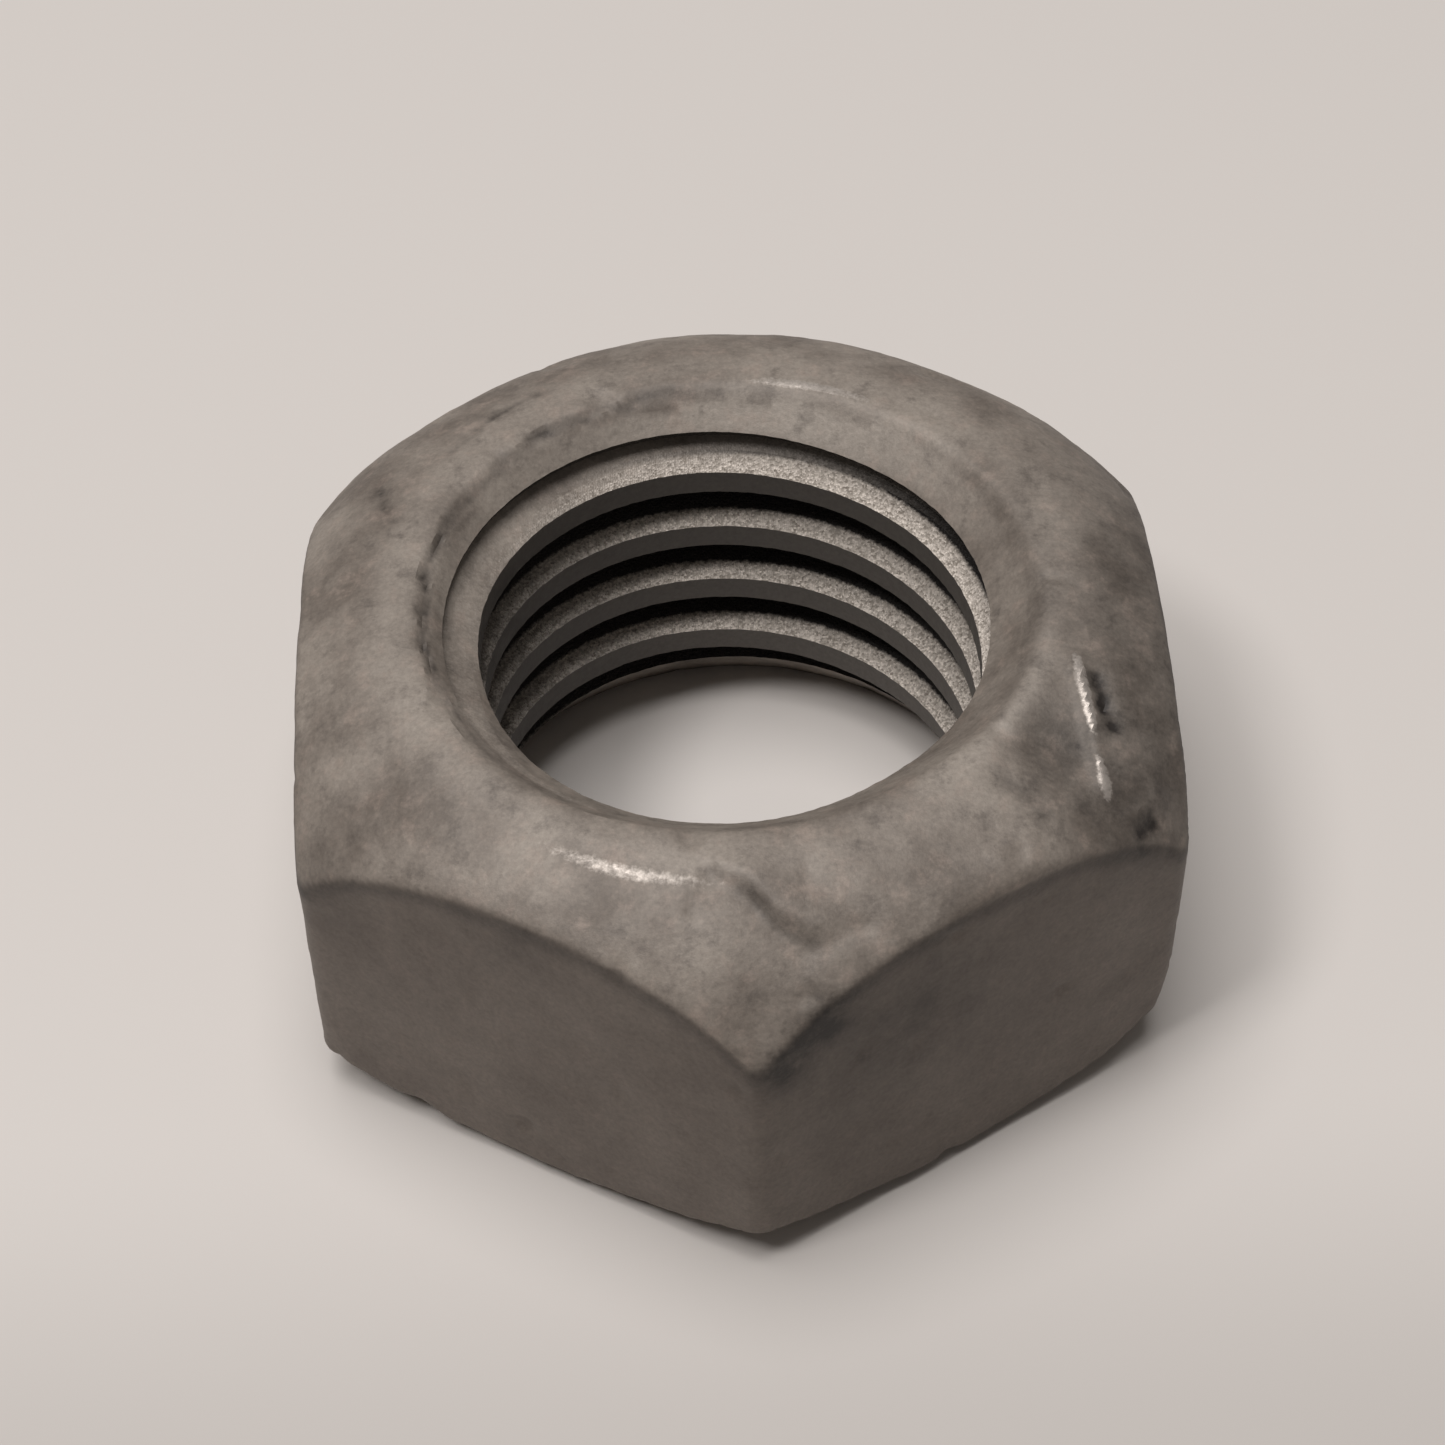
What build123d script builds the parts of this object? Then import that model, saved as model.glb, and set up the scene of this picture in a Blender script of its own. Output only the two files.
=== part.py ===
from build123d import *
from math import cos, radians, sin, sqrt, tan
import os

# All-metal locking hex nut, M18 x 2.5, right-hand thread, in millimetres.
# It is one forging: a hexagon with a domed crown, threaded through, and pinched at three
# places round the crown so that the top turns of thread grip the bolt.
# Origin: centre of the bearing face. +Z runs up the thread axis to the crown, and one
# corner of the hexagon points along -Y.

# hexagon
ACROSS_FLATS = 27.0
HEIGHT = 13.7

# domed crown, which runs out over the corners of the hexagon
CROWN_RIM_RADIUS = 9.6        # circle where the crown meets the top countersink
CROWN_ARC_RADIUS = 6.4        # radius of the dome's section

# bearing end
BEARING_FACE_RADIUS = 12.75
BEARING_CHAMFER_ANGLE = 30.0  # from the bearing face

# thread
PITCH = 2.5
MAJOR_RADIUS = 9.0
BORE_RADIUS = 7.87            # over the thread's flat crests
FLANK_ANGLE = 30.0
ROOT_FLAT = PITCH / 8
THREAD_CENTRE_AT_PLUS_X = 1.5  # height of one groove's centre line where it crosses +X
TURNS_BELOW = 2               # turns of groove that start below that one
TURNS = 8                     # enough to run out through both ends

# countersinks
TOP_COUNTERSINK_DEPTH = CROWN_RIM_RADIUS - BORE_RADIUS   # a 45 degree cone
BOTTOM_COUNTERSINK_RADIUS = 9.7
BOTTOM_COUNTERSINK_DEPTH = 2.7

# three pinched flats on the crown, over every other side of the hexagon
PINCH_DIRECTIONS = (-60.0, 60.0, 180.0)
PINCH_TILT = 48.0             # slope of the pressed flat, from the bearing face
PINCH_DEPTH = 0.22            # how far it is pressed in below the dome
PINCH_TOOL = 14.0             # size of the block that stands for the pressing jaw

# how far a cutting shape runs past the metal
OVERRUN = 1.0

CORNER_RADIUS = ACROSS_FLATS / sqrt(3)
DOME_CENTRE_RADIUS = CROWN_RIM_RADIUS
DOME_CENTRE_HEIGHT = HEIGHT - CROWN_ARC_RADIUS
CORNER_TOP = DOME_CENTRE_HEIGHT + sqrt(
    CROWN_ARC_RADIUS**2 - (CORNER_RADIUS - DOME_CENTRE_RADIUS) ** 2
)
CORNER_BOTTOM = (CORNER_RADIUS - BEARING_FACE_RADIUS) * tan(radians(BEARING_CHAMFER_ANGLE))


def hexagon_bar():
    """The hexagon stock, with corners on -Y and +Y."""
    outline = RegularPolygon(CORNER_RADIUS, 6, major_radius=True, rotation=90)
    return extrude(outline, HEIGHT)


def crown_and_chamfer_envelope():
    """The turned outside shape: bearing chamfer below, dome above."""
    middle_angle = radians(45)
    dome_middle = (
        DOME_CENTRE_RADIUS + CROWN_ARC_RADIUS * sin(middle_angle),
        0,
        DOME_CENTRE_HEIGHT + CROWN_ARC_RADIUS * cos(middle_angle),
    )
    section = make_face(
        [
            Line((0, 0, 0), (BEARING_FACE_RADIUS, 0, 0)),
            Line((BEARING_FACE_RADIUS, 0, 0), (CORNER_RADIUS, 0, CORNER_BOTTOM)),
            Line((CORNER_RADIUS, 0, CORNER_BOTTOM), (CORNER_RADIUS, 0, CORNER_TOP)),
            ThreePointArc(
                (CORNER_RADIUS, 0, CORNER_TOP), dome_middle, (CROWN_RIM_RADIUS, 0, HEIGHT)
            ),
            Line((CROWN_RIM_RADIUS, 0, HEIGHT), (0, 0, HEIGHT)),
            Line((0, 0, HEIGHT), (0, 0, 0)),
        ]
    )
    return revolve(section, Axis.Z)


def bore_with_countersinks():
    """The tapped hole's core, with a cone at each end."""
    bottom_slope = (BOTTOM_COUNTERSINK_RADIUS - BORE_RADIUS) / BOTTOM_COUNTERSINK_DEPTH
    section = make_face(
        Polyline(
            (0, 0, -OVERRUN),
            (BOTTOM_COUNTERSINK_RADIUS + OVERRUN * bottom_slope, 0, -OVERRUN),
            (BORE_RADIUS, 0, BOTTOM_COUNTERSINK_DEPTH),
            (BORE_RADIUS, 0, HEIGHT - TOP_COUNTERSINK_DEPTH),
            (CROWN_RIM_RADIUS + OVERRUN, 0, HEIGHT + OVERRUN),
            (0, 0, HEIGHT + OVERRUN),
            close=True,
        )
    )
    return revolve(section, Axis.Z)


def one_turn_of_groove(turn):
    """One whole turn of the right-hand groove; turn 0 starts below the bearing face."""
    inner_radius = BORE_RADIUS - OVERRUN / 2
    half_root = ROOT_FLAT / 2
    half_mouth = half_root + (MAJOR_RADIUS - inner_radius) * tan(radians(FLANK_ANGLE))
    start = THREAD_CENTRE_AT_PLUS_X + (turn - TURNS_BELOW) * PITCH
    section = make_face(
        Polyline(
            (inner_radius, 0, start - half_mouth),
            (MAJOR_RADIUS, 0, start - half_root),
            (MAJOR_RADIUS, 0, start + half_root),
            (inner_radius, 0, start + half_mouth),
            close=True,
        )
    )
    path = Helix(PITCH, PITCH, MAJOR_RADIUS, center=(0, 0, start))
    return sweep(section, path=path, is_frenet=True)


def pinching_jaw(direction):
    """A block whose flat underside presses into the dome, facing along one direction."""
    tilt = radians(PINCH_TILT)
    outward = Vector(sin(tilt), 0, cos(tilt)).rotate(Axis.Z, direction)
    across = Vector(0, 1, 0).rotate(Axis.Z, direction)
    dome_centre = Vector(DOME_CENTRE_RADIUS, 0, DOME_CENTRE_HEIGHT).rotate(Axis.Z, direction)
    pressed_face = Plane(
        origin=dome_centre + outward * (CROWN_ARC_RADIUS - PINCH_DEPTH),
        x_dir=across,
        z_dir=outward,
    )
    return pressed_face * Box(
        PINCH_TOOL, PINCH_TOOL, PINCH_TOOL, align=(Align.CENTER, Align.CENTER, Align.MIN)
    )


def nut_body():
    nut = hexagon_bar() & crown_and_chamfer_envelope()
    for direction in PINCH_DIRECTIONS:
        nut -= pinching_jaw(direction)
    nut -= bore_with_countersinks()
    for turn in range(TURNS):
        nut -= one_turn_of_groove(turn)
    return nut


os.makedirs("parts", exist_ok=True)
export_step(nut_body(), "parts/nut_body.step")
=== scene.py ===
from math import asin, atan2, ceil, cos, exp, hypot, pi, radians, sin, sqrt, tan

import bmesh
import bpy
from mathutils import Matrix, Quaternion, Vector, noise


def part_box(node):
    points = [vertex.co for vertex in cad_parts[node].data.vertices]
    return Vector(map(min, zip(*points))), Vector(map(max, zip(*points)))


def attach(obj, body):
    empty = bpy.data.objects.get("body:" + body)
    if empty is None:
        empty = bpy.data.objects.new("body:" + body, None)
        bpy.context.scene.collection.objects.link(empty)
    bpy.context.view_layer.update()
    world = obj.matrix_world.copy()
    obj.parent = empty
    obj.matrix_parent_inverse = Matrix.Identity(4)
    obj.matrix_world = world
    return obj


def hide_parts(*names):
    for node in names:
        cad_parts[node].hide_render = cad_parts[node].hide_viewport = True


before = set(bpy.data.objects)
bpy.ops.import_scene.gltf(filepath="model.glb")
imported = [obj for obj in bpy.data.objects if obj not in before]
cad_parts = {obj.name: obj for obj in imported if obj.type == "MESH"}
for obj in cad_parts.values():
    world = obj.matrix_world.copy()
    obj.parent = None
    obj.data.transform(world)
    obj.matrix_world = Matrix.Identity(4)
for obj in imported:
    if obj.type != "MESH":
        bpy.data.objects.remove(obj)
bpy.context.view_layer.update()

# ---------------------------------------------------------------------------
# Sizes, in millimetres in the nut's own frame: +Z up the thread, a corner on -Y
# ---------------------------------------------------------------------------
MM = 0.001
low, high = (Vector(corner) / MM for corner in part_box("nut_body"))
ACROSS_FLATS = high.x - low.x
HEIGHT = high.z - low.z
CORNER_RADIUS = ACROSS_FLATS / sqrt(3)
FLAT_DIRECTIONS = [radians(60 * side) for side in range(6)]

CROWN_RIM_RADIUS = 9.6
CROWN_ARC_RADIUS = 6.4
BEARING_FACE_RADIUS = 12.75
BEARING_CHAMFER_SLOPE = tan(radians(30))
OUTSIDE = CORNER_RADIUS + 0.2            # the turned blank, before the flats are pressed in

PITCH = 2.5
MAJOR_RADIUS = 9.0
BORE_RADIUS = 7.87
ROOT_FLAT = PITCH / 8
FLANK_HEIGHT = (MAJOR_RADIUS - BORE_RADIUS) * tan(radians(30))
ROOT_AT_PLUS_X = 1.5
ROOT_SHADOW_RADIUS = 8.4                   # past this the grooves are painted black, a painted shadow of the crest above

BOTTOM_COUNTERSINK_RADIUS = 9.7
BOTTOM_COUNTERSINK_DEPTH = 2.7

# How finely the skin is divided
COLUMNS = 500
CROWN_ROWS = 44
SIDE_ROWS = 22
CHAMFER_ROWS = 10
FACE_ROWS = 5
FLANK_ROWS = 5
CREST_ROWS = 4
ROOT_ROWS = 2
SEAM_GAP = 1e-4                          # points this close are merged where a spin closes
JOIN_GAP = 1e-3                          # and where the bore meets the outer skin

# Softness of the forged and rolled edges
FLAT_EDGE_BLEND = 0.22
CORNER_BLEND = 0.5
RIM_WIDTH = 1.0
RIM_DEPTH = 0.6
RIM_PASSES = 6


# ---------------------------------------------------------------------------
# Small helpers
# ---------------------------------------------------------------------------
def soft_min(a, b, blend):
    """The smaller of a and b, rounded where they are within blend of each other."""
    overlap = max(blend - abs(a - b), 0) / blend
    return min(a, b) - overlap * overlap * blend / 4


def fade(start, end, value):
    """0 before start, 1 after end, and smooth between."""
    t = min(max((value - start) / (end - start), 0), 1)
    return t * t * (3 - 2 * t)


def hill(distance, width):
    """1 at no distance, falling away over width."""
    return exp(-((distance / width) ** 2))


def turn_apart(angle, direction):
    """The angle from one direction to the other, from -pi to pi."""
    return (angle - direction + pi) % (2 * pi) - pi


def facing(angle, direction, width):
    """1 where an angle faces a direction, falling away over width; direction and width are in degrees."""
    return hill(turn_apart(angle, radians(direction)), radians(width))


def grain(point, size, seed):
    """Soft noise from -1 to 1, with lumps about size across."""
    return noise.noise(point / size + Vector((seed, 0, 0)))


# ---------------------------------------------------------------------------
# The nut's skin
# ---------------------------------------------------------------------------
def chain(bm, points):
    """Edges through (radius, height) points in the half plane y = 0."""
    verts = [bm.verts.new((radius, 0, height)) for radius, height in points]
    return [bm.edges.new(pair) for pair in zip(verts, verts[1:])]


def divide(bm, edges, rows):
    """Split each edge into its number of rows."""
    for edge, count in zip(edges, rows):
        if count > 1:
            bmesh.ops.subdivide_edges(bm, edges=[edge], cuts=count - 1)


def turned_blank():
    """The outer skin, from the crown's rim over the side to the bearing face."""
    bm = bmesh.new()
    crown_centre = (CROWN_RIM_RADIUS, 0, HEIGHT - CROWN_ARC_RADIUS)
    rim = bm.verts.new((CROWN_RIM_RADIUS, 0, HEIGHT))
    crown_angle = asin((OUTSIDE - CROWN_RIM_RADIUS) / CROWN_ARC_RADIUS)
    bmesh.ops.spin(bm, geom=[rim], cent=crown_centre, axis=(0, 1, 0), angle=crown_angle, steps=CROWN_ROWS)
    shoulder = min(bm.verts, key=lambda vert: vert.co.z)
    chamfer_top = (OUTSIDE - BEARING_FACE_RADIUS) * BEARING_CHAMFER_SLOPE
    edges = chain(bm, [shoulder.co.xz, (OUTSIDE, chamfer_top), (BEARING_FACE_RADIUS, 0),
                       (BOTTOM_COUNTERSINK_RADIUS, 0)])
    divide(bm, edges, (SIDE_ROWS, CHAMFER_ROWS, FACE_ROWS))
    bmesh.ops.remove_doubles(bm, verts=bm.verts[:], dist=SEAM_GAP)
    bmesh.ops.spin(bm, geom=bm.verts[:] + bm.edges[:], cent=(0, 0, 0), axis=(0, 0, 1), angle=2 * pi,
                   steps=COLUMNS, use_merge=True)
    return bm


def hexagon_radius(angle):
    """Distance from the axis to the flats in a direction, round at the corners."""
    reaches = sorted(ACROSS_FLATS / 2 / max(cos(turn_apart(angle, flat)), 0.1) for flat in FLAT_DIRECTIONS)
    return soft_min(reaches[0], reaches[1], CORNER_BLEND)


def press_flats(bm):
    """Push whatever stands outside the hexagon straight in to it."""
    for vert in bm.verts:
        radius = hypot(vert.co.x, vert.co.y)
        if radius > ACROSS_FLATS / 2 - FLAT_EDGE_BLEND:
            reach = hexagon_radius(atan2(vert.co.y, vert.co.x))
            scale = soft_min(radius, reach, FLAT_EDGE_BLEND) / radius
            vert.co.x *= scale
            vert.co.y *= scale


def thread_radius(height, angle):
    """Distance from the axis to the bare thread at a height and an angle."""
    along = (height - ROOT_AT_PLUS_X) / PITCH - angle / (2 * pi)
    from_root = abs(along - round(along)) * PITCH
    climb = (from_root - ROOT_FLAT / 2) / FLANK_HEIGHT
    return MAJOR_RADIUS - (MAJOR_RADIUS - BORE_RADIUS) * min(max(climb, 0), 1)


def countersink_radius(height):
    """Distance from the axis to the wider of the two countersinks at a height."""
    from_top = CROWN_RIM_RADIUS - (HEIGHT - height)
    from_bottom = BOTTOM_COUNTERSINK_RADIUS - height * (
        (BOTTOM_COUNTERSINK_RADIUS - BORE_RADIUS) / BOTTOM_COUNTERSINK_DEPTH)
    return max(from_top, from_bottom)


def stands_in(height, angle):
    """Whether the thread's groove is deeper than the countersinks there."""
    return thread_radius(height, angle) > countersink_radius(height)


def crossing(lower, upper, angle):
    """The height between two heights where the thread runs out into a countersink."""
    start = stands_in(lower, angle)
    for _ in range(20):
        middle = (lower + upper) / 2
        if stands_in(middle, angle) == start:
            lower = middle
        else:
            upper = middle
    return lower


def threaded_bore():
    """The thread, one turn spun as a helix and repeated, cut to the nut's height and countersinks."""
    bm = bmesh.new()
    crest_flat = PITCH - ROOT_FLAT - 2 * FLANK_HEIGHT
    runs = (ROOT_FLAT / 2, FLANK_HEIGHT, crest_flat, FLANK_HEIGHT, ROOT_FLAT / 2)
    turns_below = 2
    heights = [ROOT_AT_PLUS_X - turns_below * PITCH]
    for run in runs:
        heights.append(heights[-1] + run)
    edges = chain(bm, [(MAJOR_RADIUS, height) for height in heights])
    divide(bm, edges, (ROOT_ROWS // 2, FLANK_ROWS, CREST_ROWS, FLANK_ROWS, ROOT_ROWS // 2))
    bmesh.ops.spin(bm, geom=bm.verts[:] + bm.edges[:], cent=(0, 0, 0), axis=(0, 0, 1),
                   dvec=(0, 0, PITCH / COLUMNS), angle=2 * pi, steps=COLUMNS)
    turn = bm.verts[:] + bm.edges[:] + bm.faces[:]
    for count in range(1, ceil(HEIGHT / PITCH) + turns_below):
        copy = bmesh.ops.duplicate(bm, geom=turn)["geom"]
        bmesh.ops.translate(bm, verts=[item for item in copy if isinstance(item, bmesh.types.BMVert)],
                            vec=(0, 0, PITCH * count))
    bmesh.ops.remove_doubles(bm, verts=bm.verts[:], dist=SEAM_GAP)
    columns = {}
    for vert in bm.verts:
        angle = atan2(vert.co.y, vert.co.x) % (2 * pi)
        columns.setdefault(round(angle / (2 * pi) * COLUMNS) % COLUMNS, []).append(vert)
    edge_points = []
    for column, verts in columns.items():
        edge_points += cut_column(sorted(verts, key=lambda vert: vert.co.z), column * 2 * pi / COLUMNS)
    bmesh.ops.connect_verts(bm, verts=list(dict.fromkeys(edge_points)))
    return bm


def cut_column(verts, angle):
    """Give one upright row of the bore its radii, and return its points where the thread runs out."""
    edge_points = []
    for vert in verts:
        vert.co.z = min(max(vert.co.z, 0), HEIGHT)
    for lower, upper in zip(verts, verts[1:]):
        if stands_in(lower.co.z, angle) != stands_in(upper.co.z, angle):
            edge = crossing(lower.co.z, upper.co.z, angle)
            nearest = min(lower, upper, key=lambda vert: abs(vert.co.z - edge))
            nearest.co.z = edge
            edge_points.append(nearest)
    for vert in verts:
        radius = max(thread_radius(vert.co.z, angle), countersink_radius(vert.co.z))
        vert.co.x = radius * cos(angle)
        vert.co.y = radius * sin(angle)
    return edge_points


def soften_rim(bm):
    """Roll over the sharp rim where the crown meets the countersink."""
    rim = [vert for vert in bm.verts
           if vert.co.z > HEIGHT - RIM_DEPTH
           and abs(hypot(vert.co.x, vert.co.y) - CROWN_RIM_RADIUS) < RIM_WIDTH / 2]
    for _ in range(RIM_PASSES):
        bmesh.ops.smooth_vert(bm, verts=rim, factor=0.5, use_axis_x=True, use_axis_y=True, use_axis_z=True)


# Marks that pinching and handling left on the crown: a route in plan, half its width, its depth
# (a raised lip is less than nothing), and how much painted shade darkens its groove
PINCH_FOLD = ((-1.4, -10.7), (-0.3, -11.4), (0.8, -12.5), (2.3, -13.4))
GOUGE = ((10.75, -3.6), (10.95, -4.9), (11.4, -5.9))
CURLED_LIP = ((11.1, -8.6), (11.9, -7.95), (12.5, -7.35), (12.35, -6.85))
UNDER_LIP = ((11.5, -8.65), (12.0, -8.25), (12.4, -7.9))
HOLLOW_EDGE = ((7.1, -7.5), (8.1, -8.3), (9.0, -9.3))
BACK_LAP = ((-9.1, 6.6), (-7.1, 8.9), (-5.3, 9.9))
SIDE_LAP = ((-11.1, 6.7), (-10.9, 4.9), (-10.4, 3.7))
CROWN_LINES = (
    (PINCH_FOLD, 0.22, 0.14, 0.8),
    (GOUGE, 0.26, 0.20, 1.9),
    (CURLED_LIP, 0.24, -0.24, 0.0),
    (UNDER_LIP, 0.18, 0.14, 1.6),
    (HOLLOW_EDGE, 0.34, 0.05, 1.0),
    (BACK_LAP, 0.13, 0.07, 1.2),
    (SIDE_LAP, 0.16, 0.08, 1.1),
)
FOLD_STEP = 0.34                         # how much higher the fold's left side stands
FOLD_REACH = 1.1
MARK_REACH = 2.0                         # the fold and the scrape change nothing past this

# A scrape in two tapered strokes, with the metal it pushed up
SCRAPE = ((10.25, -2.9), (10.4, -4.5), (10.65, -6.9), (10.8, -8.2))
FIRST_STROKE = 0.6                       # the first stroke's part of the whole length
SCRAPE_BURR = 0.20
SCRAPE_WIDTH = 0.24

# Where the pinch pressed the crown in, and where the metal went
PINCH_DIRECTION = -33
PINCH_HOLLOW, PINCH_HOLLOW_WIDTH, PINCH_HOLLOW_DEPTH = Vector((9.3, -6.5)), 1.5, 0.42
PINCH_BEAD_RADIUS, PINCH_BEAD_WIDTH, PINCH_BEAD_RISE = 9.95, 0.5, 0.10
SWELLING, SWELLING_WIDTH, SWELLING_RISE = Vector((8.2, -10.6)), 2.6, 0.35

# How far the pinch and the press moved the rim outward: a direction and a width in degrees, and how far
RIM_SHIFTS = ((-135, 34, 0.26), (-58, 22, -0.20), (62, 24, -0.16))

# The forged skin's unevenness: the size of its lumps, how high they stand, and a seed
FORGED_LUMPS = ((3.2, 0.055, 1), (1.3, 0.030, 2), (0.45, 0.014, 3))
PIT_SIZE, PIT_DEPTH, PIT_LEVEL = 1.1, 0.35, 0.42
THREAD_LUMP_SIZE, THREAD_LUMP_HEIGHT = 0.28, 0.022

# Knocks on the lower edge: a place, how wide and how deep
DENTS = (((13.4, -7.7, 1.2), 1.7, 0.30), ((-10.4, -9.4, 0.4), 0.55, 0.35))


def beside(route, x, y):
    """Distance from a route, which side (left is positive), and how far along it, from 0 to 1."""
    best = (1e9, 0, 0)
    for index, (start, end) in enumerate(zip(route, route[1:])):
        run = Vector(end) - Vector(start)
        reach = Vector((x, y)) - Vector(start)
        part = min(max(reach.dot(run) / run.length_squared, 0), 1)
        distance = (reach - run * part).length
        if distance < best[0]:
            best = (distance, run.x * reach.y - run.y * reach.x, (index + part) / (len(route) - 1))
    return best


def line_strength(route, width, point):
    """How strongly a line marks a point: 1 on the line, ragged, and fading out at its ends."""
    distance, _, along = beside(route, point.x, point.y)
    if distance > 4 * width:
        return 0
    ragged = 0.8 + 0.7 * grain(point, 0.5, 21)
    return hill(distance, width) * fade(0, 0.12, along) * fade(1, 0.85, along) * ragged


def torn_lip(point, angle, radius):
    """The ragged line where the crown's edge was rolled in over the countersink."""
    from_line = radius - CROWN_RIM_RADIUS + 0.08 - 0.22 * grain(point, 0.9, 11)
    torn = max(facing(angle, 120, 28), facing(angle, 180, 48))
    return hill(from_line, 0.14) * torn * max(0.8 + 0.6 * grain(point, 0.6, 12), 0)


def crown_mark(point, angle, radius):
    """How far the marks on the crown raise it, in millimetres."""
    x, y, _ = point
    rise = SWELLING_RISE * hill((point.xy - SWELLING).length, SWELLING_WIDTH) * fade(11.6, 13.2, radius)
    rise -= PINCH_HOLLOW_DEPTH * hill((point.xy - PINCH_HOLLOW).length, PINCH_HOLLOW_WIDTH)
    bead = hill(radius - PINCH_BEAD_RADIUS, PINCH_BEAD_WIDTH) * facing(angle, PINCH_DIRECTION, 20)
    rise += PINCH_BEAD_RISE * bead
    distance, side, along = beside(PINCH_FOLD, x, y)
    if distance < MARK_REACH:
        ends = fade(0, 0.15, along) * fade(1, 0.85, along)
        step = fade(-0.3, 0.3, distance if side > 0 else -distance) - 0.5
        rise += FOLD_STEP * step * hill(distance, FOLD_REACH) * ends
    distance, _, along = beside(SCRAPE, x, y)
    if distance < MARK_REACH:
        ends = fade(0, 0.12, along) * fade(1, 0.8, along)
        rise += SCRAPE_BURR * hill(distance, SCRAPE_WIDTH) * ends
    for route, width, depth, _ in CROWN_LINES:
        rise -= depth * line_strength(route, width, point)
    return rise - 0.16 * torn_lip(point, angle, radius)


def rim_shift(angle):
    """How far the pinch and the press moved the rim outward, in millimetres."""
    return sum(shift * facing(angle, direction, width) for direction, width, shift in RIM_SHIFTS)


def wear(bm):
    """Leave the marks of forging, pinching and handling on the clean shape."""
    bm.normal_update()
    moves = []
    for vert in bm.verts:
        point, normal = vert.co.copy(), vert.normal.copy()
        angle, radius = atan2(point.y, point.x), hypot(point.x, point.y)
        outward = Vector((cos(angle), sin(angle), 0))
        outer = fade(9.2, 9.8, radius)
        move = normal * outer * sum(lump * grain(point, size, seed) for size, lump, seed in FORGED_LUMPS)
        move -= normal * outer * PIT_DEPTH * max(grain(point, PIT_SIZE, 4) - PIT_LEVEL, 0)
        if point.z > 9 and radius > 9.2:
            move.z += crown_mark(point, angle, radius)
        near_rim = fade(11.4, 9.7, radius) * fade(9.0, 13.0, point.z)
        if near_rim > 0:
            move += outward * rim_shift(angle) * near_rim
        if radius < 9.3:
            move += outward * THREAD_LUMP_HEIGHT * grain(point, THREAD_LUMP_SIZE, 5)
        for place, width, depth in DENTS:
            move -= normal * depth * hill((point - Vector(place)).length, width)
        moves.append(move)
    for vert, move in zip(bm.verts, moves):
        vert.co += move
        vert.co.z = min(max(vert.co.z, 0), HEIGHT)
        vert.co.x = min(max(vert.co.x, low.x), high.x)


# Where the skin is darker: a place, how wide, and how strongly. Most are stains from handling and heat; the
# first two, on the right side of the crown, are painted shade
STAIN_AND_SHADE_PATCHES = (
    ((13.5, -2.0, 11.5), 4.5, 1.0),
    ((12.5, 4.5, 12.0), 3.5, 0.6),
    ((11.6, -7.6, 12.0), 2.4, 0.9),
    ((9.4, -6.2, 13.3), 1.3, 0.8),
    ((0.9, -15.2, 9.3), 0.8, 1.8),
    ((2.0, -14.4, 10.4), 1.0, 1.6),
    ((4.6, -12.9, 8.6), 3.4, 0.85),
    ((-12.5, -8.0, 9.6), 1.5, 0.5),
    ((-7.0, -11.4, 11.0), 1.2, 0.5),
)


def edge_height(angle):
    """The height at which the crown meets the flats in a direction."""
    reach = hexagon_radius(angle) - CROWN_RIM_RADIUS
    return HEIGHT - CROWN_ARC_RADIUS + sqrt(CROWN_ARC_RADIUS ** 2 - reach ** 2)


def bright_amount(point, angle, radius):
    """How far the coating is worn through to bright steel at the scrape and the back ridge, with a painted
    highlight along the back ridge and the front of the crown.
    """
    # the back ridge: worn to bright steel, and partly a painted highlight
    ridge = 0.72 * hill(radius - 9.75, 0.26) * facing(angle, 72, 18)
    # the front band of the crown: a painted highlight
    front = 0.62 * hill(radius - 11.35, 0.34) * facing(angle, -108, 20)
    distance, _, along = beside(SCRAPE, point.x, point.y)
    if along < FIRST_STROKE:
        stroke = along / FIRST_STROKE
    else:
        stroke = (along - FIRST_STROKE) / (1 - FIRST_STROKE)
    taper = abs(sin(pi * stroke))
    uneven = 0.9 + 0.3 * grain(point, 0.6, 22)
    scraped = hill(distance, 0.07 + 0.17 * taper) * fade(0, 0.45, taper) * uneven
    return min(ridge + front + scraped, 1) * fade(11.5, 12.0, point.z)


def pale_amount(angle, radius):
    """How far the top of the crown is polished paler by rubbing."""
    pinched = facing(angle, PINCH_DIRECTION, 22)
    return 0.45 * hill(radius - 10.6, 0.8) * (1 - pinched) + hill(radius - 9.85, 0.45) * pinched


def dirt_and_shade_amount(point, angle, radius):
    """How far the skin is darkened: stains in patches, with painted shade in the two patches on the right of
    the crown, and painted shade in the marks' grooves and along the torn lip under the crown's edge.
    """
    dirt_and_shade = sum(amount * hill((point - Vector(place)).length, width) for place, width, amount in STAIN_AND_SHADE_PATCHES)
    if point.z > 10.7:
        # painted shade in the marks' grooves and along the torn lip
        dirt_and_shade += sum(amount * line_strength(route, width, point) for route, width, _, amount in CROWN_LINES)
        dirt_and_shade += 1.35 * torn_lip(point, angle, radius)
    return dirt_and_shade


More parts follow.
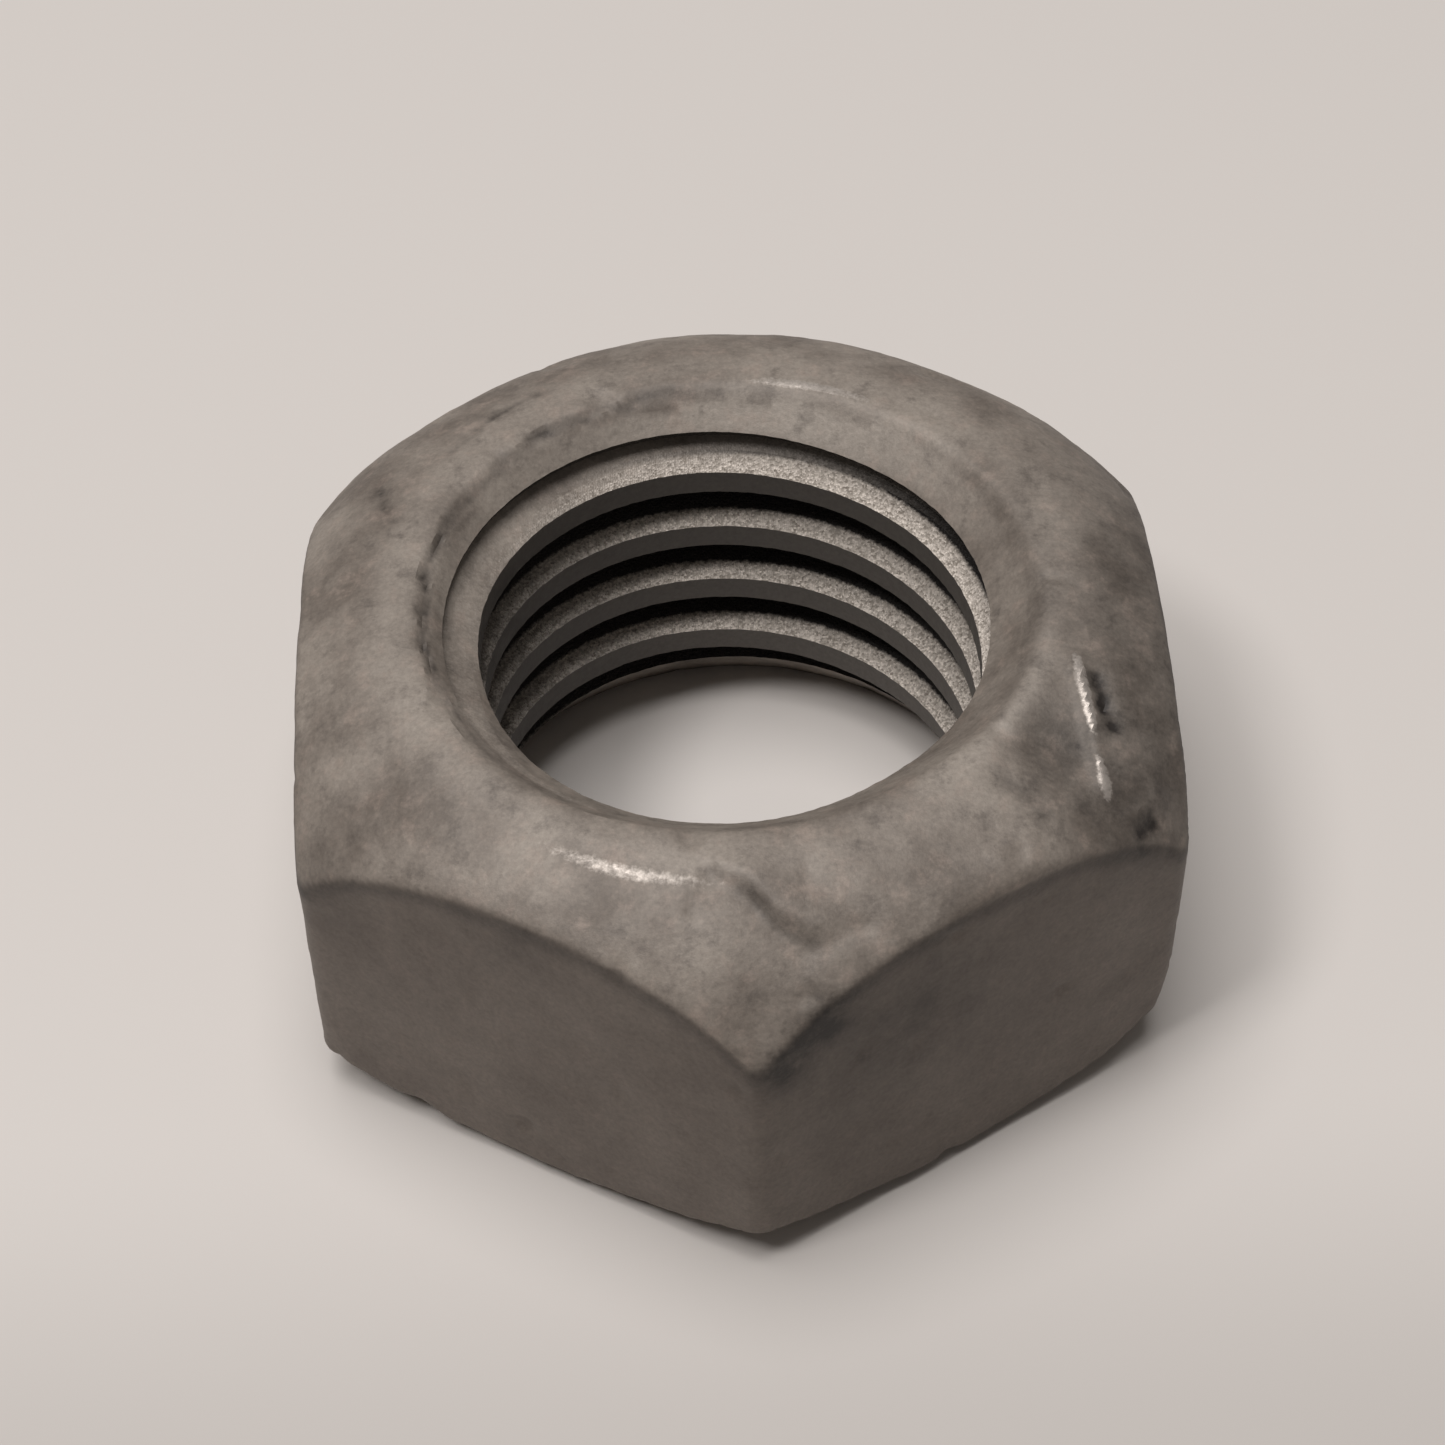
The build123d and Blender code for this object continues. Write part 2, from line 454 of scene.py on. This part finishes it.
def finish_maps(mesh):
    """Where the finish differs: bright, pale and darkened places, the sides, and the flanks and crests; the
    bright places hold painted highlights and the darkened ones painted shade.
    """
    bright, pale, dirt_and_shade, side = (mesh.attributes.new(name, "FLOAT", "POINT").data
                                for name in ("bright", "pale", "dirt_and_shade", "side"))
    for vert in mesh.vertices:
        point = vert.co / MM
        angle, radius = atan2(point.y, point.x), hypot(point.x, point.y)
        if radius < CROWN_RIM_RADIUS - 0.5:
            # painted shade on the bore's left wall below the top turns
            shaded_left_wall = facing(angle, 172, 46)
            dirt_and_shade[vert.index].value = 1.3 * shaded_left_wall * fade(12.3, 11.0, point.z)
            pale[vert.index].value = facing(angle, 80, 50) * fade(12.2, 12.8, point.z)
            continue
        below_edge = edge_height(angle) - point.z
        on_side = fade(-0.1, 0.15, below_edge) * fade(9.5, 12, radius)
        bright[vert.index].value = bright_amount(point, angle, radius)
        pale[vert.index].value = pale_amount(angle, radius) * fade(12, 13, point.z)
        # painted shade on the flats just under the crown's edge
        shade_under_edge = 0.8 * hill(below_edge - 0.3, 0.4) * on_side
        dirt_and_shade[vert.index].value = dirt_and_shade_amount(point, angle, radius) + shade_under_edge
        side[vert.index].value = on_side
    flank, crest = (mesh.attributes.new(name, "FLOAT", "FACE").data for name in ("flank", "crest"))
    for face in mesh.polygons:
        point = face.center / MM
        angle, radius = atan2(point.y, point.x), hypot(point.x, point.y)
        on_crest = radius < BORE_RADIUS + 0.08
        in_thread = radius < MAJOR_RADIUS + 0.1 and (stands_in(point.z, angle) or on_crest)
        faces_up = face.normal.z > 0.6
        coated = 0.9 * fade(11.3, 12.0, point.z)
        flank[face.index].value = 1 - coated if in_thread and faces_up else 0
        crest[face.index].value = float(in_thread and not faces_up)


def forged_nut():
    """The whole nut as one closed skin."""
    bm = turned_blank()
    press_flats(bm)
    mesh = bpy.data.meshes.new("locking_nut")
    bore = threaded_bore()
    bore.to_mesh(mesh)
    bore.free()
    bm.from_mesh(mesh)
    bmesh.ops.remove_doubles(bm, verts=bm.verts[:], dist=JOIN_GAP)
    bmesh.ops.recalc_face_normals(bm, faces=bm.faces[:])
    soften_rim(bm)
    wear(bm)
    bmesh.ops.scale(bm, vec=(MM, MM, MM), verts=bm.verts[:])
    for face in bm.faces:
        face.smooth = True
    bm.to_mesh(mesh)
    bm.free()
    mesh.set_sharp_from_angle(angle=radians(32))
    finish_maps(mesh)
    nut = bpy.data.objects.new("locking_nut", mesh)
    bpy.context.scene.collection.objects.link(nut)
    return nut


# ---------------------------------------------------------------------------
# Materials
# ---------------------------------------------------------------------------
# Clouds are about 3 mm across and stains about 1 mm. The grain, about 0.17 mm, and the crystals, about
# 0.07 mm, are drawn coarser than real ones so that they show
CLOUDS_PER_MM = 0.32
STAINS_PER_MM = 1.0
GRAINS_PER_MM = 6.0
CRYSTALS_PER_MM = 14.0


def colour(hex_code):
    """An sRGB hex colour as linear RGBA."""
    channels = [int(hex_code[i:i + 2], 16) / 255 for i in (1, 3, 5)]
    return [c / 12.92 if c <= 0.04045 else ((c + 0.055) / 1.055) ** 2.4 for c in channels] + [1]


def add(tree, kind, inputs=None, **settings):
    """Add a node with its settings, and with values or links for its inputs."""
    made = tree.nodes.new(kind)
    for name, value in settings.items():
        setattr(made, name, value)
    for name, value in (inputs or {}).items():
        if isinstance(value, bpy.types.NodeSocket):
            tree.links.new(value, made.inputs[name])
        else:
            made.inputs[name].default_value = value
    return made


def coated_steel():
    """Phosphate and zinc coated forged steel: a matt warm grey skin in cloudy patches, with fine crystals
    that glitter on the thread's flanks, and bare steel where worn; painted highlights lie on the crown, and
    painted shade in the roots, creases and under edges."""
    material = bpy.data.materials.new("phosphate_zinc_coated_forged_steel")
    material.use_nodes = True
    tree = material.node_tree
    tree.nodes.clear()
    place = add(tree, "ShaderNodeTexCoord").outputs["Object"]
    place = add(tree, "ShaderNodeMapping", {"Vector": place, "Scale": (1 / MM, 1 / MM, 1 / MM)}).outputs[0]
    flank, crest, bright, pale, dirt_and_shade, side = (
        add(tree, "ShaderNodeAttribute", attribute_name=name).outputs["Fac"]
        for name in ("flank", "crest", "bright", "pale", "dirt_and_shade", "side"))
    plan = add(tree, "ShaderNodeMapping", {"Vector": place, "Scale": (1, 1, 0)}).outputs[0]
    from_axis = add(tree, "ShaderNodeVectorMath", {0: plan}, operation="LENGTH").outputs["Value"]
    clouds = add(tree, "ShaderNodeTexNoise", {"Vector": place, "Scale": CLOUDS_PER_MM, "Detail": 5.0,
                                              "Roughness": 0.62})
    stains = add(tree, "ShaderNodeTexNoise", {"Vector": place, "Scale": STAINS_PER_MM, "Detail": 6.0,
                                              "Roughness": 0.7})
    fine = add(tree, "ShaderNodeTexNoise", {"Vector": place, "Scale": GRAINS_PER_MM, "Detail": 4.0,
                                            "Roughness": 0.7})
    crystals = add(tree, "ShaderNodeTexVoronoi", {"Vector": place, "Scale": CRYSTALS_PER_MM})
    ragged = add(tree, "ShaderNodeMath", {0: fine.outputs[0], 1: 0.25, 2: from_axis},
                 operation="MULTIPLY_ADD")
    past_shadow_line = add(tree, "ShaderNodeMapRange", {"Value": ragged.outputs[0],
                                              "From Min": ROOT_SHADOW_RADIUS + 0.08,
                                              "From Max": ROOT_SHADOW_RADIUS + 0.18})
    height = add(tree, "ShaderNodeSeparateXYZ", {0: place}).outputs[2]
    shadow_below_top = add(tree, "ShaderNodeMapRange", {"Value": height, "From Min": 12.5, "From Max": 12.1})
    cloud_tone = add(tree, "ShaderNodeMapRange", {"Value": clouds.outputs[0],
                                                  "From Min": 0.36, "From Max": 0.64})
    stain_tone = add(tree, "ShaderNodeMapRange", {"Value": stains.outputs[0],
                                                  "From Min": 0.54, "From Max": 0.72, "To Max": 0.62})
    rosy_tone = add(tree, "ShaderNodeMapRange", {"Value": stains.outputs[0],
                                                 "From Min": 0.47, "From Max": 0.33, "To Max": 0.35})
    grain_tone = add(tree, "ShaderNodeMapRange", {"Value": fine.outputs[0], "From Min": 0.3, "From Max": 0.7,
                                                  "To Min": 0.82, "To Max": 1.14})
    even = add(tree, "ShaderNodeMath", {0: side, 1: 0.72}, operation="MULTIPLY")
    glitter = add(tree, "ShaderNodeSeparateColor", {"Color": crystals.outputs["Color"]})
    sparkle = add(tree, "ShaderNodeMix", {0: glitter.outputs[0], 6: colour("#9B9288"), 7: colour("#EDE3D9")},
                  data_type="RGBA")
    # painted shadow of the crests on the flanks' deeper part, left off near the top
    root_shadow = add(tree, "ShaderNodeMath", {0: flank, 1: past_shadow_line.outputs[0]}, operation="MULTIPLY")
    root_shadow = add(tree, "ShaderNodeMath", {0: root_shadow.outputs[0], 1: shadow_below_top.outputs[0]}, operation="MULTIPLY")
    # stains together with painted shade, from the darkened map
    dirt_and_shade_mix = add(tree, "ShaderNodeMath", {0: dirt_and_shade, 1: stains.outputs[0]}, operation="MULTIPLY",
                 use_clamp=True)
    # bare steel and painted highlights, from the bright map
    bare_and_highlight = add(tree, "ShaderNodeMath", {0: fine.outputs[0], 1: 0.55, 2: bright}, operation="MULTIPLY_ADD")
    bare_and_highlight = add(tree, "ShaderNodeMapRange", {"Value": bare_and_highlight.outputs[0],
                                              "From Min": 0.66, "From Max": 0.96})
    # Each layer lies over the ones before it: where it shows, and its colour
    base = colour("#70675F")
    for amount, tone in ((cloud_tone.outputs[0], colour("#958C83")),     # the pale side of the clouds
                         (pale, colour("#A1988F")),                      # polished by rubbing
                         (rosy_tone.outputs[0], colour("#AB9A8F")),      # rosy patches
                         (stain_tone.outputs[0], colour("#544D48")),     # stains
                         (even.outputs[0], colour("#675E57")),           # the flats, darker and more even
                         (flank, sparkle.outputs[2]),                    # crystals on the flanks
                         (crest, colour("#5C5752")),                     # the thread's crests
                         (root_shadow.outputs[0], colour("#1E1A18")),           # painted shadow of the crests in the roots
                         (dirt_and_shade_mix.outputs[0], colour("#2E2926")),         # stains, and painted shade in creases, under edges, on the bore's left wall and on the right of the crown
                         (bare_and_highlight.outputs[0], colour("#B7AFA8"))):        # bare steel, and painted highlights on the crown's front and back ridge
        base = add(tree, "ShaderNodeMix", {0: amount, 6: base, 7: tone}, data_type="RGBA").outputs[2]
    base = add(tree, "ShaderNodeVectorMath", {0: base, 3: grain_tone.outputs[0]}, operation="SCALE")
    metallic = add(tree, "ShaderNodeMapRange", {"Value": bare_and_highlight.outputs[0], "To Min": 0.12, "To Max": 0.55})
    roughness = add(tree, "ShaderNodeMapRange", {"Value": bare_and_highlight.outputs[0], "To Min": 0.58, "To Max": 0.42})
    relief = add(tree, "ShaderNodeMath", {0: fine.outputs[0], 1: stains.outputs[0]}, operation="ADD")
    bump = add(tree, "ShaderNodeBump", {"Height": relief.outputs[0], "Strength": 0.5, "Distance": 0.03 * MM})
    bump = add(tree, "ShaderNodeBump", {"Height": crystals.outputs["Distance"], "Strength": flank,
                                        "Distance": 0.05 * MM, "Normal": bump.outputs[0]})
    shader = add(tree, "ShaderNodeBsdfPrincipled", {"Base Color": base.outputs[0],
                                                    "Metallic": metallic.outputs[0],
                                                    "Roughness": roughness.outputs[0],
                                                    "Normal": bump.outputs[0]})
    add(tree, "ShaderNodeOutputMaterial", {"Surface": shader.outputs[0]})
    return material


def pale_board():
    """Smooth pale plastic board, matt and almost even, with a painted shade that greys it toward its front.
    """
    material = bpy.data.materials.new("pale_plastic_board")
    material.use_nodes = True
    tree = material.node_tree
    tree.nodes.clear()
    place = add(tree, "ShaderNodeTexCoord").outputs["Object"]
    place = add(tree, "ShaderNodeMapping", {"Vector": place, "Scale": (1 / MM, 1 / MM, 1 / MM)}).outputs[0]
    along = add(tree, "ShaderNodeSeparateXYZ", {0: place}).outputs[1]
    # painted shade that greys the board toward its front
    front_unshaded = add(tree, "ShaderNodeMapRange", {"Value": along, "From Min": -24.0, "From Max": -9.0},
                interpolation_type="SMOOTHSTEP")
    base = add(tree, "ShaderNodeMix", {0: front_unshaded.outputs[0], 6: colour("#C5C0BC"), 7: colour("#DAD5D1")},
               data_type="RGBA")
    shader = add(tree, "ShaderNodeBsdfPrincipled", {"Base Color": base.outputs[2], "Roughness": 0.5})
    add(tree, "ShaderNodeOutputMaterial", {"Surface": shader.outputs[0]})
    return material


# ---------------------------------------------------------------------------
# The floor, light and camera, and the nut among them
# ---------------------------------------------------------------------------
def lay_floor():
    """A round board that reaches past every view."""
    bm = bmesh.new()
    bmesh.ops.create_circle(bm, cap_ends=True, segments=96, radius=800 * MM)
    mesh = bpy.data.meshes.new("floor")
    bm.to_mesh(mesh)
    bm.free()
    board = bpy.data.objects.new("floor", mesh)
    bpy.context.scene.collection.objects.link(board)
    board.data.materials.append(pale_board())


def soft_light(name, direction, distance, size, power, tint):
    """A round soft light that looks at the nut from a direction."""
    lamp = bpy.data.lights.new(name, "AREA")
    lamp.shape = "DISK"
    lamp.size = size
    lamp.energy = power
    lamp.color = colour(tint)[:3]
    light = bpy.data.objects.new(name, lamp)
    towards = Vector(direction).normalized()
    light.location = towards * distance
    light.rotation_euler = towards.to_track_quat("Z", "Y").to_euler()
    bpy.context.scene.collection.objects.link(light)


def light_studio():
    """A large soft light overhead, a smaller one from the left, and a dim room that is seen brighter."""
    soft_light("overhead_softbox", (-0.10, 0.02, 0.99), 600 * MM, 400 * MM, 2.3, "#FFFCFA")
    soft_light("window_light", (-0.40, -0.24, 0.88), 600 * MM, 140 * MM, 1.0, "#FFFCFA")
    world = bpy.data.worlds.new("studio")
    world.use_nodes = True
    world.node_tree.nodes.clear()
    seen = add(world.node_tree, "ShaderNodeLightPath").outputs["Is Camera Ray"]
    strength = add(world.node_tree, "ShaderNodeMapRange", {"Value": seen, "To Min": 0.17, "To Max": 0.6})
    background = add(world.node_tree, "ShaderNodeBackground",
                     {"Color": colour("#E6E0DA"), "Strength": strength.outputs[0]})
    add(world.node_tree, "ShaderNodeOutputWorld", {"Surface": background.outputs[0]})
    bpy.context.scene.world = world
    bpy.context.scene.view_settings.view_transform = "Standard"


def place_camera():
    """The camera, close above the front corner and turned a little."""
    azimuth, elevation, roll = radians(-1.58), radians(47.87), radians(-1.25)
    target = Vector((-0.34, 0, 7.70)) * MM
    distance = 104.6 * MM
    back = Vector((sin(azimuth) * cos(elevation), -cos(azimuth) * cos(elevation), sin(elevation)))
    lens = bpy.data.cameras.new("camera")
    lens.sensor_width = 36
    lens.lens = 80.97
    lens.clip_start = 0.005
    camera = bpy.data.objects.new("camera", lens)
    camera.location = target + back * distance
    turn = back.to_track_quat("Z", "Y") @ Quaternion((0, 0, 1), roll)
    camera.rotation_euler = turn.to_euler()
    bpy.context.scene.collection.objects.link(camera)
    bpy.context.scene.camera = camera


nut = forged_nut()
nut.data.materials.append(coated_steel())
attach(nut, "root")
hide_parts("nut_body")

lay_floor()
light_studio()
place_camera()
